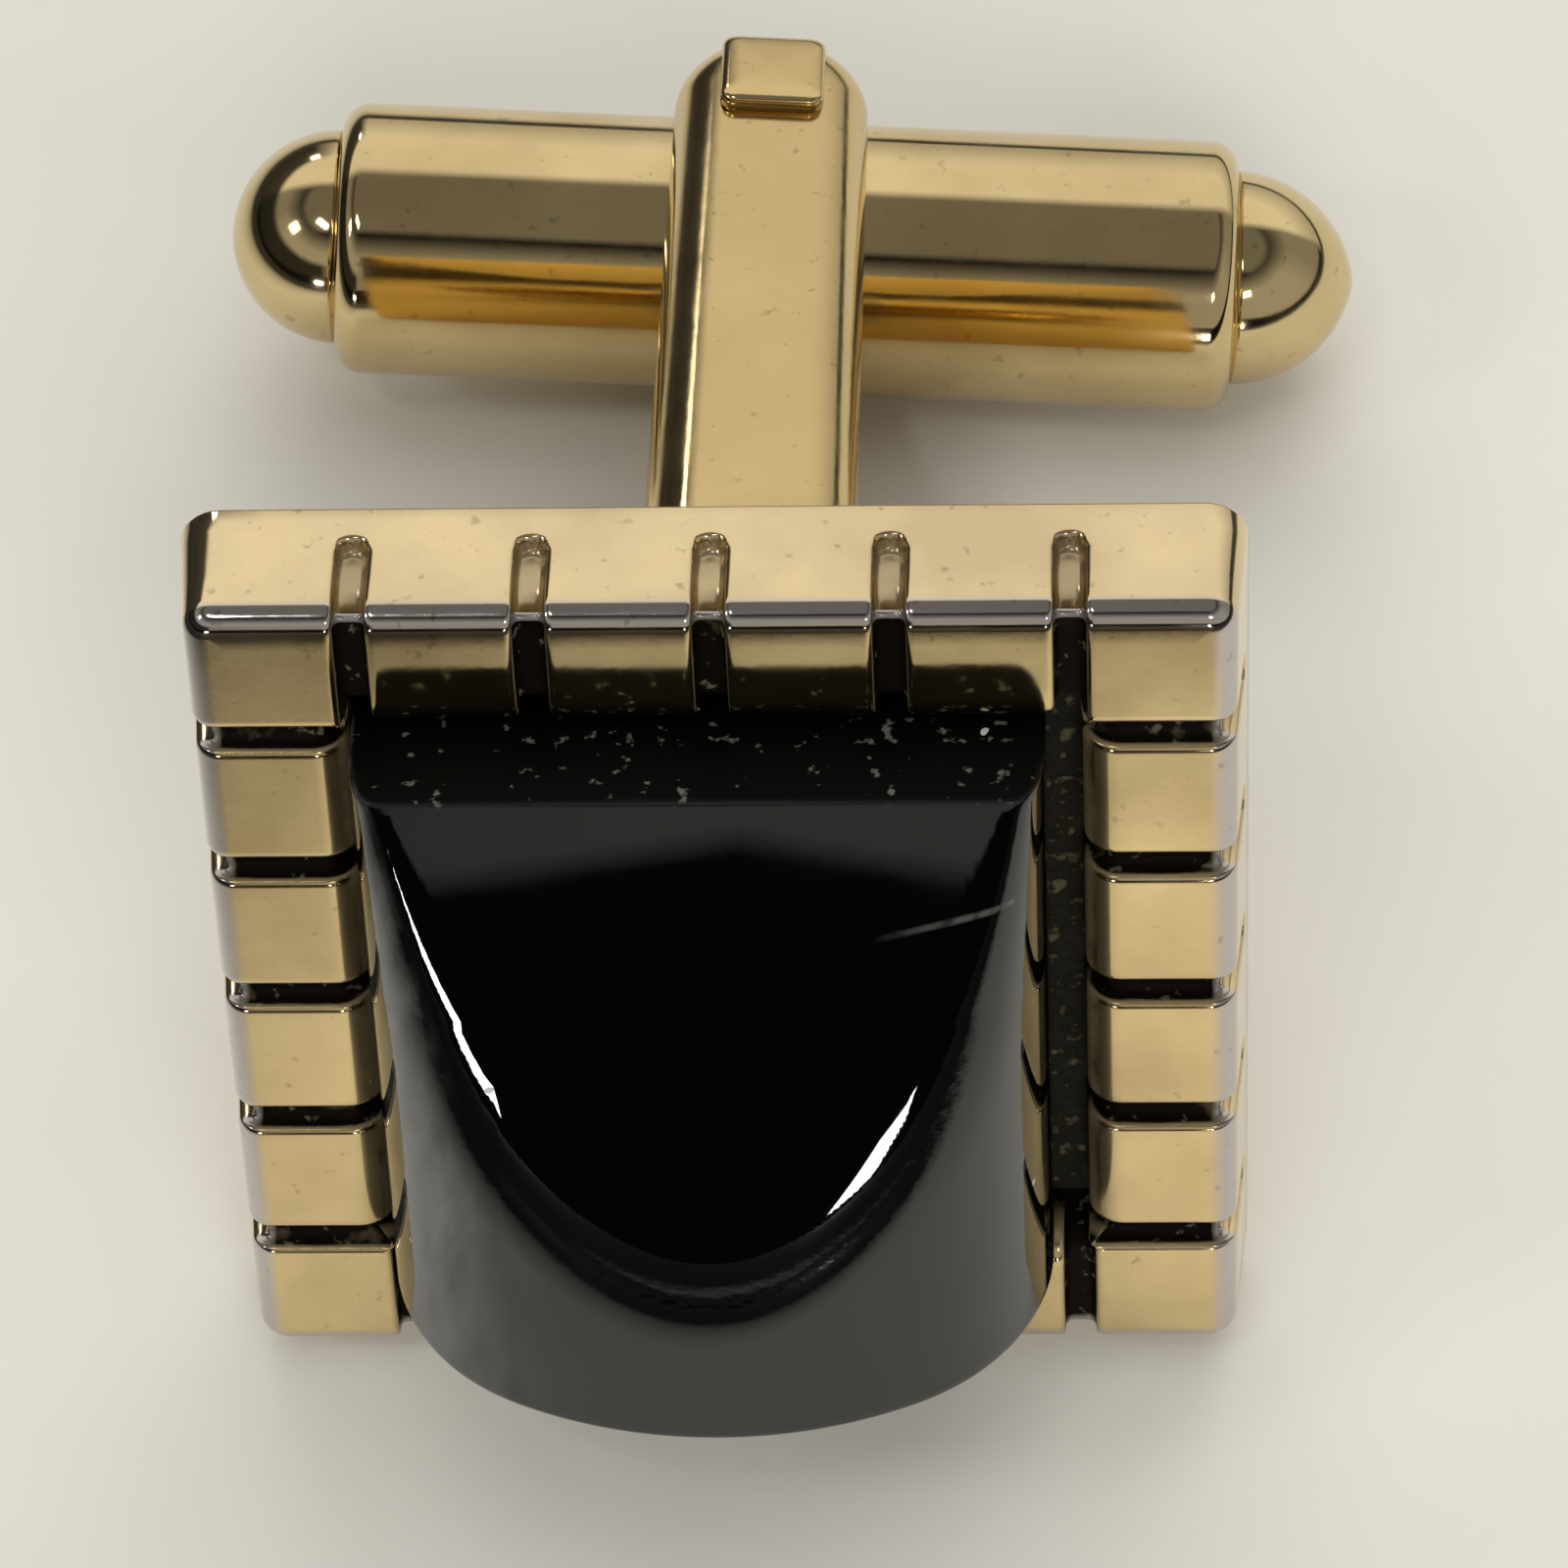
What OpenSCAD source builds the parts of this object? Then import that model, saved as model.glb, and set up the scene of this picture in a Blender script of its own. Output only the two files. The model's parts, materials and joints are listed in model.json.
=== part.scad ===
// Square cufflink: a grooved frame with a black half-round stone, and a toggle that swivels on a forked post.
// Each piece is drawn as it is made: X to the right, Y back from the frame's rear face, Z up, with the
// frame's rear face in the plane Y = 0. stand() then leans the cufflink back until it stands on the frame's
// rear bottom edge and on the low end of the toggle. The origin is the middle of that rear bottom edge.

/* [Frame] */
// Width and height of the square frame at its rear face
frame_w = 16; // [14.5:0.25:20]
// Thickness of the frame from its rear face to its front face
frame_t = 2.25; // [1.8:0.05:3]
// How far each outer wall leans in from the rear face to the front face
frame_draft = 0.21; // [0.05:0.01:0.3]
// Radius of the four outer corners at the rear face
frame_corner_r = 0.65; // [0.65:0.05:1]
// Radius of the rounded edge round the front face
front_edge_r = 0.34; // [0.15:0.01:0.34]
// Width and height of the square seat that the stone stands in
seat_w = 10.98; // [9:0.02:11.5]
// Radius of the rounded lip round the mouth of the seat
lip_r = 0.55; // [0.2:0.05:0.6]
// Thickness of the metal behind the seat
seat_floor_t = 0.9; // [0.6:0.05:1.2]

/* [Grooves] */
// Number of grooves across each side of the border
groove_count = 5; // [1:2:7]
// Width of a groove
groove_w = 0.5; // [0.3:0.01:0.6]
// Depth of a groove
groove_d = 0.36; // [0.25:0.01:0.45]
// Distance from the frame's rear face to the blind end of a groove
groove_stop = 0.62; // [0.4:0.01:0.9]

/* [Stone] */
// Mean clearance between the stone's two upright sides and the seat
stone_side_gap = 0.29; // [0.27:0.01:0.6]
// How far the stone sits to the right of the middle of its seat
stone_shift = -0.25; // [-0.25:0.05:0.25]
// Clearance between the stone's two ends and the seat
stone_gap = 0.04; // [0.02:0.01:0.2]
// Height of the stone's upright sides above the frame's front face
stone_side_h = 0.2; // [0:0.05:1]
// Rise of the arch from the top of the upright sides to the crown
stone_rise = 4.05; // [3.9:0.05:4.6]
// Radius of the arch's two shoulders
stone_shoulder_r = 3.7; // [2:0.05:3.7]
// Height of the facet above the frame's front face, at the stone's upper end
facet_start_h = 1.4; // [1:0.05:2.2]
// Slope of the facet, in degrees
facet_angle = 19; // [14:0.5:28]
// Thickness of the cement bed under the stone
cement_t = 0.15; // [0.1:0.01:0.3]

/* [Post] */
// Distance from the frame's rear face to the toggle's pivot
pivot_y = 15.75; // [14:0.25:19]
// Turn of the whole closure against the frame, in degrees
closure_twist = 4; // [0:0.5:6]
// Width of each arm
arm_w = 3.35; // [2.8:0.05:4]
// Depth of each arm, from the side next to the toggle to its outer face
arm_depth = 1.46; // [1.2:0.02:1.8]
// Radius of the arms' rounded outer edges
arm_edge_r = 0.85; // [0.5:0.05:1]
// Wall thickness of the stamped arms
arm_wall = 0.4; // [0.3:0.05:0.45]
// Thickness of the foot plate on the frame's back
foot_t = 0.5; // [0.4:0.05:1]
// How far the foot plate stands out round the arms
foot_rim = 0.4; // [0.2:0.05:0.8]
// Height of the foot's two studs inside the arms
foot_stud_h = 0.8; // [0.4:0.05:1.2]

/* [Pivot pin] */
// Width of the square pin
pin_w = 1.3; // [1:0.05:1.5]
// Radius of the pin's four corners
pin_corner_r = 0.25; // [0.1:0.05:0.4]
// Width of the peened square heads
head_w = 1.72; // [1.6:0.02:2]
// Height of the heads above the arms
head_t = 0.3; // [0.15:0.05:0.5]

/* [Toggle] */
// Outer diameter of the toggle's barrel
barrel_d = 4.58; // [4:0.02:5.2]
// Length of the barrel
barrel_len = 15.15; // [13:0.25:17]
// How far the middle of the barrel lies to the right of the pivot
barrel_shift = 0.355; // [-0.4:0.005:0.4]
// Wall thickness of the barrel
barrel_wall = 0.4; // [0.3:0.05:0.5]
// Radius of the barrel's rolled shoulders
barrel_edge_r = 0.45; // [0.25:0.05:0.6]
// Diameter of the end caps where they leave the barrel
cap_d = 3.62; // [2.8:0.02:3.66]
// Length of the left cap outside the barrel
left_cap_len = 1.83; // [1.83:0.01:2.4]
// Length of the right cap outside the barrel
right_cap_len = 2.05; // [1.83:0.01:2.4]
// Diameter of the caps' spigots inside the barrel
spigot_d = 2.6; // [2:0.05:2.7]
// Length of the spigots
spigot_len = 0.9; // [0.6:0.05:1.2]

/* [Spring] */
// Length of the leaf spring along the barrel
spring_len = 8; // [6:0.25:9]
// Width of the leaf spring
spring_w = 2; // [1.4:0.1:2.2]
// Thickness of the leaf spring
spring_t = 0.2; // [0.15:0.01:0.3]

/* [Fits] */
// Clearance between the toggle and each arm
arm_clearance = 0.05; // [0.03:0.01:0.1]
// Clearance round the pin where the toggle turns on it
turn_clearance = 0.035; // [0.02:0.005:0.06]
// Clearance round pieces that are pushed together and stay put
seat_clearance = 0.02; // [0.01:0.005:0.03]

/* [Hidden] */
$fn = 64;

// Overrun of every cut past the faces that it opens
overrun = frame_t / 4;
// Number of straight steps in a rounded corner of an outline
corner_steps = 6;

half_w = frame_w / 2;
half_seat = seat_w / 2;
corner_at = half_w - frame_corner_r;
draft_angle = atan(frame_draft / frame_t);
groove_pitch = frame_w / (groove_count + 1);
groove_r = groove_w / 2;

stone_len = seat_w - 2 * stone_gap;
stone_w = seat_w - 2 * stone_side_gap;
stone_base_y = -(seat_floor_t + cement_t);
side_top_y = -(frame_t + stone_side_h);
// In a narrow seat the arch rises no more than this share of half its width.
steepest_share = 0.97;
arch_rise = min(stone_rise, steepest_share * stone_w / 2);

// The toggle turns between the arms, so the arms stand off by its radius and a clearance.
arm_in = barrel_d / 2 + arm_clearance;
arm_out = arm_in + arm_depth;
foot_w = arm_w + 2 * foot_rim;
foot_h = 2 * (arm_out + foot_rim);

// The round holes in the barrel run on the corners of the square pin.
pin_turn_r = (pin_w / 2 - pin_corner_r) * sqrt(2) + pin_corner_r;
pin_hole_r = pin_turn_r + turn_clearance;
bore_r = barrel_d / 2 - barrel_wall;
spigot_r = spigot_d / 2;

// The leaf spring is bowed: its middle clears the turning pin and its ends touch the bore.
spring_near = pin_turn_r + turn_clearance;
spring_end = sqrt(bore_r * bore_r - spring_w * spring_w / 4) - spring_t - seat_clearance;
spring_sag = spring_end - spring_near;
spring_r = (spring_len * spring_len / 4 + spring_sag * spring_sag) / (2 * spring_sag);

// Lean at which the rear bottom edge and the low rim of the barrel touch the same floor.
rim_r = barrel_d / 2 - barrel_edge_r;
rim_s = barrel_shift + barrel_len / 2 - barrel_edge_r;
rim_up = half_w - rim_s * sin(closure_twist);
rim_reach = sqrt(rim_up * rim_up + pivot_y * pivot_y);
rim_bearing = atan2(pivot_y, rim_up);
function lean_for(height) = acos(height / rim_reach) - rim_bearing;
function rim_height(lean) = rim_r * sqrt(1 - pow(sin(closure_twist) * cos(lean), 2)) + barrel_edge_r;
lean = lean_for(rim_height(lean_for(rim_height(0))));

// Points of an arc about a centre, from one angle to another.
function arc(centre, r, from, to, steps) =
    [for (i = [0 : steps]) let (a = from + (to - from) * i / steps) centre + r * [cos(a), sin(a)]];

// Outline of a rectangle with round corners, about the origin.
function round_rect(w, h, r) = concat(
    arc([w / 2 - r, h / 2 - r], r, 0, 90, corner_steps),
    arc([r - w / 2, h / 2 - r], r, 90, 180, corner_steps),
    arc([r - w / 2, r - h / 2], r, 180, 270, corner_steps),
    arc([w / 2 - r, r - h / 2], r, 270, 360, corner_steps));

// Places the cufflink as it stands.
module stand() {
    rotate([-lean, 0, 0]) translate([0, 0, half_w]) children();
}

// Places a piece of the closure, which is turned against the frame.
module closure() {
    stand() rotate([0, closure_twist, 0]) children();
}

// Places a piece of the toggle: its own Z runs along the barrel, from the barrel's left end.
module on_toggle() {
    closure() translate([barrel_shift - barrel_len / 2, pivot_y, 0]) rotate([0, 90, 0]) children();
}

// Repeats a piece for the four sides of the frame.
module each_side() {
    for (turn = [0 : 90 : 270]) rotate([0, turn, 0]) children();
}

// Half section of the frame outside its corner centres: X runs outwards and Y towards the front.
module wall_section() {
    edge_y = frame_t - front_edge_r;
    edge_x = frame_corner_r - edge_y * tan(draft_angle) - front_edge_r / cos(draft_angle);
    polygon(concat(
        [[0, 0], [frame_corner_r, 0]],
        arc([edge_x, edge_y], front_edge_r, draft_angle, 90, corner_steps),
        [[0, frame_t]]));
}

module frame_body() {
    translate([-corner_at, -frame_t, -corner_at]) cube([2 * corner_at, frame_t, 2 * corner_at]);
    each_side() {
        translate([-corner_at, 0, corner_at]) rotate([180, -90, 0])
            linear_extrude(2 * corner_at) wall_section();
        translate([corner_at, 0, corner_at]) rotate([90, 0, 0])
            rotate_extrude(angle = 90) wall_section();
    }
}

// Seat of the stone, with its mouth rounded over into the front face.
module seat_cut() {
    lip_x = half_seat + lip_r;
    mouth = concat(
        [[-half_seat, -seat_floor_t]],
        arc([-lip_x, lip_r - frame_t], lip_r, 0, -90, corner_steps),
        [[-lip_x, -frame_t - overrun], [lip_x, -frame_t - overrun]],
        arc([lip_x, lip_r - frame_t], lip_r, 270, 180, corner_steps),
        [[half_seat, -seat_floor_t]]);
    intersection() {
        translate([0, 0, -half_w]) linear_extrude(frame_w) polygon(mouth);
        rotate([0, 90, 0]) translate([0, 0, -half_w]) linear_extrude(frame_w) polygon(mouth);
    }
}

// One groove of the upper side: across the front face, then down the leaning outer wall to its round end.
module border_groove() {
    end_y = groove_stop / cos(draft_angle) + groove_r;
    front_y = frame_t / cos(draft_angle) + overrun;
    translate([-groove_r, -frame_t - overrun, half_seat - overrun])
        cube([groove_w, overrun + groove_d, half_w - half_seat + 2 * overrun]);
    translate([0, 0, half_w]) rotate([180 + draft_angle, 0, 0]) translate([0, 0, -overrun])
        linear_extrude(overrun + groove_d) polygon(concat(
            arc([0, end_y], groove_r, 180, 360, corner_steps),
            [[groove_r, front_y], [-groove_r, front_y]]));
}

module bezel_frame() {
    color("goldenrod") stand() difference() {
        frame_body();
        seat_cut();
        each_side() for (k = [-(groove_count - 1) / 2 : (groove_count - 1) / 2])
            translate([k * groove_pitch, 0, 0]) border_groove();
    }
}

// Section of the stone: short upright sides under an arch with a flat crown and two round shoulders.
function arch_section() = let (
    flat = stone_w / 2 - stone_shoulder_r,
    crown_r = (flat * flat + arch_rise * arch_rise - stone_shoulder_r * stone_shoulder_r)
        / (2 * (arch_rise - stone_shoulder_r)),
    meet = asin(flat / (crown_r - stone_shoulder_r)),
    crown = [0, arch_rise - crown_r])
    concat(
        [[stone_w / 2, side_top_y - stone_base_y]],
        arc([flat, 0], stone_shoulder_r, 0, 90 - meet, 2 * corner_steps),
        arc(crown, crown_r, 90 - meet, 90 + meet, 4 * corner_steps),
        arc([-flat, 0], stone_shoulder_r, 90 + meet, 180, 2 * corner_steps),
        [[-stone_w / 2, side_top_y - stone_base_y]]);

module stone() {
    far = frame_w;
    color("black") stand() translate([stone_shift, 0, 0]) difference() {
        translate([0, side_top_y, -stone_len / 2]) mirror([0, 1, 0])
            linear_extrude(stone_len) polygon(arch_section());
        translate([0, -(frame_t + facet_start_h), stone_len / 2]) rotate([-facet_angle, 0, 0])
            translate([-far, -far, -2 * far]) cube([2 * far, far, 4 * far]);
    }
}

// Thin bed that fills the seat under the stone.
module cement_bed() {
    bed_w = seat_w - 2 * seat_clearance;
    color("dimgray") stand() translate([-bed_w / 2, stone_base_y, -bed_w / 2])
        cube([bed_w, cement_t, bed_w]);
}

// Half section of an arm, inside its outside by an inset: X is half the width and Y the depth.
// The inner face is at Y = 0, or below it by a given overrun.
function half_arm(inset, below = 0) = let (
    half = arm_w / 2 - inset,
    depth = arm_depth - inset,
    edge = arm_edge_r - inset)
    concat(
        [[0, -below], [half, -below]],
        arc([half - edge, depth - edge], edge, 0, 90, corner_steps),
        [[0, depth]]);

// Whole section of an arm.
function whole_arm(inset, below = 0) = let (right = half_arm(inset, below), last = len(right) - 1)
    concat(
        [for (i = [1 : last - 1]) right[i]],
        [for (i = [last - 1 : -1 : 1]) [-right[i][0], right[i][1]]]);

// Straight length from a given start, and the round end about the pivot.
module arm_form(start, inset, below = 0) {
    translate([0, pivot_y, 0]) {
        rotate([90, 0, 0]) linear_extrude(pivot_y - start) polygon(whole_arm(inset, below));
        rotate_extrude(angle = 180) polygon(half_arm(inset, below));
    }
}

// One stamped hollow arm above the toggle. Its open side faces the toggle.
module arm() {
    hole_w = pin_w + 2 * seat_clearance;
    translate([0, 0, arm_in]) difference() {
        arm_form(foot_t, 0);
        arm_form(foot_t - overrun, arm_wall, overrun);
        translate([-hole_w / 2, pivot_y - hole_w / 2, 0]) cube([hole_w, hole_w, arm_depth + overrun]);
    }
}

module upper_arm() {
    color("khaki") closure() arm();
}

module lower_arm() {
    color("darkkhaki") closure() mirror([0, 0, 1]) arm();
}

// Foot plate soldered on the frame's back, with a stud that fills the root of each hollow arm.
module post_foot() {
    color("peru") closure() {
        rotate([-90, 0, 0]) linear_extrude(foot_t) polygon(round_rect(foot_w, foot_h, arm_edge_r));
        for (side = [0, 1]) mirror([0, 0, side]) translate([0, foot_t + foot_stud_h, arm_in])
            rotate([90, 0, 0]) linear_extrude(foot_stud_h) polygon(whole_arm(arm_wall + seat_clearance));
    }
}

// Square bar with two peened heads, each a low dome cut square.
module pivot_pin() {
    dome_r = 2 * head_w;
    color("tan") closure() translate([0, pivot_y, 0]) {
        translate([0, 0, -arm_out]) linear_extrude(2 * arm_out)
            polygon(round_rect(pin_w, pin_w, pin_corner_r));
        for (side = [0, 1]) mirror([0, 0, side]) intersection() {
            translate([0, 0, arm_out]) linear_extrude(head_t)
                polygon(round_rect(head_w, head_w, pin_corner_r));
            translate([0, 0, arm_out + head_t - dome_r]) sphere(dome_r, $fn = 96);
        }
    }
}

// Half section of the barrel's outside: X is the radius and Y runs along the barrel.
module barrel_section() {
    polygon(concat(
        [[0, 0]],
        arc([rim_r, barrel_edge_r], barrel_edge_r, -90, 0, corner_steps),
        arc([rim_r, barrel_len - barrel_edge_r], barrel_edge_r, 0, 90, corner_steps),
        [[0, barrel_len]]));
}

module toggle_barrel() {
    hole_r = spigot_r + seat_clearance;
    color("gold") on_toggle() difference() {
        rotate_extrude($fn = 96) barrel_section();
        translate([0, 0, barrel_wall]) cylinder(h = barrel_len - 2 * barrel_wall, r = bore_r);
        translate([0, 0, -overrun]) cylinder(h = barrel_len + 2 * overrun, r = hole_r);
        translate([-barrel_d, 0, barrel_len / 2 - barrel_shift]) rotate([0, 90, 0])
            cylinder(h = 2 * barrel_d, r = pin_hole_r);
    }
}

// End cap: a dome whose sides start upright and close in arcs on its tip, and a spigot below it.
module end_cap(length) {
    base_r = cap_d / 2;
    side_r = (base_r * base_r + length * length) / (2 * base_r);
    tip = acos((side_r - base_r) / side_r);
    steps = 3 * corner_steps;
    dome = arc([base_r - side_r, 0], side_r, 0, tip * (steps - 1) / steps, steps - 1);
    rotate_extrude($fn = 96) polygon(concat(
        [[0, -spigot_len], [spigot_r, -spigot_len], [spigot_r, 0]], dome, [[0, length]]));
}

module left_end_cap() {
    color("gold") on_toggle() mirror([0, 0, 1]) end_cap(left_cap_len);
}

module right_end_cap() {
    color("gold") on_toggle() translate([0, 0, barrel_len]) end_cap(right_cap_len);
}

// Bowed leaf spring behind the pin, with its ends on the barrel's bore.
module detent_spring() {
    color("silver") closure() translate([0, pivot_y + spring_near, 0]) intersection() {
        translate([0, spring_r, -spring_w / 2]) difference() {
            cylinder(h = spring_w, r = spring_r, $fn = 180);
            translate([0, 0, -overrun])
                cylinder(h = spring_w + 2 * overrun, r = spring_r - spring_t, $fn = 180);
        }
        translate([-spring_len / 2, -overrun, -spring_w]) cube([spring_len, barrel_d, 2 * spring_w]);
    }
}

bezel_frame();
stone();
cement_bed();
post_foot();
upper_arm();
lower_arm();
pivot_pin();
toggle_barrel();
left_end_cap();
right_end_cap();
detent_spring();
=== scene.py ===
"""A square cufflink: a grooved gold frame, a black half-round stone and a toggle on a forked post.

Every piece is built in the local frame in which it is made, X to the right, Y back and Z up, and is then
placed with the cufflink as it stands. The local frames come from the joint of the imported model.
"""
import json
import math

import bmesh
import bpy
from mathutils import Matrix, Vector


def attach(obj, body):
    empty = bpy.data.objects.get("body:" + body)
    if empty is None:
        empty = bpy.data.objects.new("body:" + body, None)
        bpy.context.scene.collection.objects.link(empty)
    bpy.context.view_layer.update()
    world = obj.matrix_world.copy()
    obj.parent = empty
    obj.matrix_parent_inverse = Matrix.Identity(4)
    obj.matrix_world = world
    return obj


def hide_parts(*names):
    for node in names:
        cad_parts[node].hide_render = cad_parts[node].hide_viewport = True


# Lengths for all pieces, in metres. WELD joins points that are as good as one, and SLIVER takes out the
# faces that are as good as a line

MM = 0.001
CLEAR = 0.005 * MM
WELD = 0.0005 * MM
SLIVER = 0.0002 * MM
LEAST_RUN = 0.005 * MM
BUMP_HEIGHT = 0.02 * MM

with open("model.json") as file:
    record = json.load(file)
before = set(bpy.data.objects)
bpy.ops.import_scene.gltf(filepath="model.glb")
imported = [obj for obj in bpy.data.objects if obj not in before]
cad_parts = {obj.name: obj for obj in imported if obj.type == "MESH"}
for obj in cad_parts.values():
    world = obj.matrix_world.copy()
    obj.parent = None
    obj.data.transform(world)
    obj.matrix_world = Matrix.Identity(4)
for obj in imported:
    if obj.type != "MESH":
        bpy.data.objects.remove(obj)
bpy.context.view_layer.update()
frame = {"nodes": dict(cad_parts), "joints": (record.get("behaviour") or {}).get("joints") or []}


# Local frames, from the joint of the toggle

joint = frame["joints"][0]
pivot = Vector(joint["pos_m"])
pin_axis = Vector(joint["axis"])
lean = math.atan2(pin_axis.y, pin_axis.z)
closure_twist = math.asin(pin_axis.x)
STAND = Matrix.Rotation(-lean, 4, "X")
made_pivot = STAND.inverted() @ pivot
half_w = made_pivot.z
BEZEL = STAND @ Matrix.Translation((0, 0, half_w))
CLOSURE = BEZEL @ Matrix.Rotation(closure_twist, 4, "Y") @ Matrix.Translation((0, made_pivot.y, 0))
TOGGLE = CLOSURE @ Matrix.Rotation(math.radians(90), 4, "Y")


def span(node, place):
    """Lowest and highest corners of a CAD node in a local frame."""
    back = place.inverted()
    corners = [back @ vertex.co for vertex in frame["nodes"][node].data.vertices]
    return Vector(map(min, zip(*corners))), Vector(map(max, zip(*corners)))


# Sizes of the frame and its grooves

BEZEL_T = -span("bezel_frame", BEZEL)[0].y
BEZEL_DRAFT = 0.21 * MM
CORNER_R = 0.65 * MM
EDGE_R = 0.42 * MM
REAR_R = 0.07 * MM
LIP_R = 0.55 * MM
SEAT_FLOOR_T = 0.9 * MM
HALF_SEAT = span("cement_bed", BEZEL)[1].x + 0.02 * MM
GROOVE_COUNT = 5
GROOVE_R = 0.25 * MM
GROOVE_D = 0.33 * MM
GROOVE_STOP = 0.62 * MM
GROOVE_EDGE_DROP = 0.04 * MM
GROOVE_EDGE_SHARE = 0.4
GROOVE_BEND_SHARE = 0.72
GROOVE_FADE_LEN = 1.2 * MM
CORNER_STEPS = 8

# Painted shade, soiling and wear on the frame. A groove is fully darkened, by painted shade and soiling,
# from the first share below of its depth. The rubbed front edge keeps the second share of that darkening,
# and the outer wall keeps the third

GROOVE_SHADE_AND_DIRT_START = 0.3
BEND_SHADE_AND_DIRT = 0.1
WALL_SHADE_AND_DIRT = 0.35
SEAT_SHADE_AND_DIRT_DEPTH = 0.9 * MM
SEAT_SHADE_AND_DIRT_POWER = 0.7
EDGE_WEAR = 2.4

# Sizes of the stone. At its upper end the rounding of the facet's edge has FACET_CRISP_SHARE of its full
# width, which it reaches after FACET_CRISP_LEN

STONE_SHOULDER_R = 3.7 * MM
STONE_RISE = 4.05 * MM
STONE_SIDE_H = 0.2 * MM
FACET_START_H = 1.4 * MM
FACET_SLOPE = math.radians(19)
FACET_BLEND = 0.55 * MM
FACET_CROWN = 0.12 * MM
FACET_PILLOW = 0.14 * MM
FACET_PILLOW_REACH = 1.15 * MM
FACET_CRISP_SHARE = 0.4
FACET_CRISP_LEN = 3.5 * MM
FACET_LEVELS = 120
STEEPEST = 2.0
STONE_END_R = 0.1 * MM
STONE_LEAST_GRIME = 0.04
SCRATCH_START = (2.36 * MM, -0.83 * MM, 12.14 * MM)
SCRATCH_ALONG = (0.969, 0.149, 0.199)
SCRATCH_ACROSS = (0.249, -0.581, -0.775)
SCRATCH_LEN = 2.2 * MM
SCRATCH_FADE_LEN = 1.2 * MM
SCRATCH_HALF = 0.07 * MM
SCRATCH_CORE = 0.02 * MM

# Sizes of the post, the pin and the toggle

ARM_BASE_HALF = 1.72 * MM
ARM_END_HALF = 1.62 * MM
ARM_EDGE_R = 0.85 * MM
ARM_WALL = 0.4 * MM
ARM_INNER_DARKENING = 0.5

BARREL_WALL = 0.4 * MM
BARREL_EDGE_R = 0.45 * MM
MOUTH_R = 1.32 * MM
PIN_HOLE_R = 0.85 * MM
CAP_R = 1.81 * MM
SPIGOT_R = 1.3 * MM
SPIGOT_LEN = 0.9 * MM
PIN_HALF = 0.65 * MM
HEAD_HALF = 0.86 * MM
PIN_CORNER_R = 0.25 * MM

# Colours of the finishes. Painted shade and soiling hide the gold's metal between the two levels of the
# first pair below, and soiling hides the stone's polish between the two of STONE_DIRT_HIDES

SHADE_AND_DIRT_HIDE = (0.3, 0.9)
STONE_DIRT_HIDES = (0.1, 1.0)
STONE_IOR = 1.65
WORN_THROUGH = (0.56, 0.52, 0.50)
UNWORN = (0.80, 0.54, 0.16)
LINT = (0.09, 0.085, 0.05)
STONE_BLACK = (0.0008, 0.0009, 0.0009)
STONE_SCUFF_AND_LIGHT = (0.07, 0.075, 0.07)
STONE_DUST = (0.10, 0.11, 0.09)
STONE_SCRATCH = (0.07, 0.07, 0.065)
STONE_FLUFF = (0.5, 0.52, 0.5)

# The floor. In reflections it goes dark from REFLECTED_NEAR to REFLECTED_FAR away from a point to the right
# of the cufflink, which REFLECTED_SHIFT moves to the origin

FLOOR_HALF = 600 * MM
FLOOR_PALE = (0.70, 0.685, 0.625)
FLOOR_PALER = (0.74, 0.725, 0.665)
FLOOR_DARK = (0.006, 0.006, 0.006)
REFLECTED_SHIFT = (-20 * MM, -12 * MM, 0)
REFLECTED_NEAR = 36 * MM
REFLECTED_FAR = 60 * MM

# The room, by direction, which is the X, Y and Z of a unit vector. A pair says where a change starts and
# where it ends. A pair of light is the level at either end: in front and behind, or for the window low down
# and high up

WALL_FOOT = (0.2200, 0.2235)
WALL_FOOT_SLOPE = 0.16
WALL_FOOT_SHIFT = 0.052
WALL_TOP = (0.62, 0.86)
WALL_TURN = (-0.3, 0.1)
WALL_LIGHT = (0.42, 0.3)
WINDOW_SIDE = (0.36, 0.50)
WINDOW_RISE = (0.05, 0.45)
WINDOW_LIGHT = (0.55, 0.95)
CEILING_EDGE = (0.80, 0.88)
CEILING_TURN = (-0.50, -0.42)
CEILING_LIGHT = (0.02, 0.2)
DARK_SIDE = (-0.06, -0.28)
DARK_SIDE_TOP = (0.47, 0.38)
DARK_SIDE_KEEPS = 0.06
ROOM_LEAST = 0.006
ROOM_TINT = (1.0, 0.975, 0.89)
BACKDROP = (0.8, 0.8, 0.78, 1)
LAMP_DISTANCE = 500 * MM


def arc(centre_x, centre_y, radius, start, end, steps):
    """Points of an arc, from one angle in degrees to another."""
    turns = [math.radians(start + (end - start) * i / steps) for i in range(steps + 1)]
    return [(centre_x + radius * math.cos(t), centre_y + radius * math.sin(t)) for t in turns]


def blend(low, high, share):
    return low + (high - low) * share


def smooth_min(a, b, width):
    """The lower of two heights, with the crease between them rounded."""
    near = max(width - abs(a - b), 0) / width
    return min(a, b) - near * near * width / 4


# Mesh building

def finished(name, mesh):
    """The mesh data that a bmesh makes. The bmesh is freed."""
    data = bpy.data.meshes.new(name)
    mesh.to_mesh(data)
    mesh.free()
    return data


def in_scene(name, data):
    """A new object that shows the data."""
    made = bpy.data.objects.new(name, data)
    bpy.context.scene.collection.objects.link(made)
    return made


def new_piece(name, mesh, place, material, body, nodes):
    """Places a finished bmesh as a piece that rides on a body and stands for CAD nodes."""
    bmesh.ops.remove_doubles(mesh, verts=mesh.verts, dist=WELD)
    bmesh.ops.dissolve_degenerate(mesh, edges=mesh.edges, dist=SLIVER)
    mesh.transform(place)
    mesh.normal_update()
    bmesh.ops.recalc_face_normals(mesh, faces=mesh.faces)
    data = finished(name, mesh)
    data.shade_smooth()
    data.materials.append(material)
    piece = in_scene(name, data)
    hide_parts(*nodes)
    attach(piece, body)
    return piece


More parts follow.
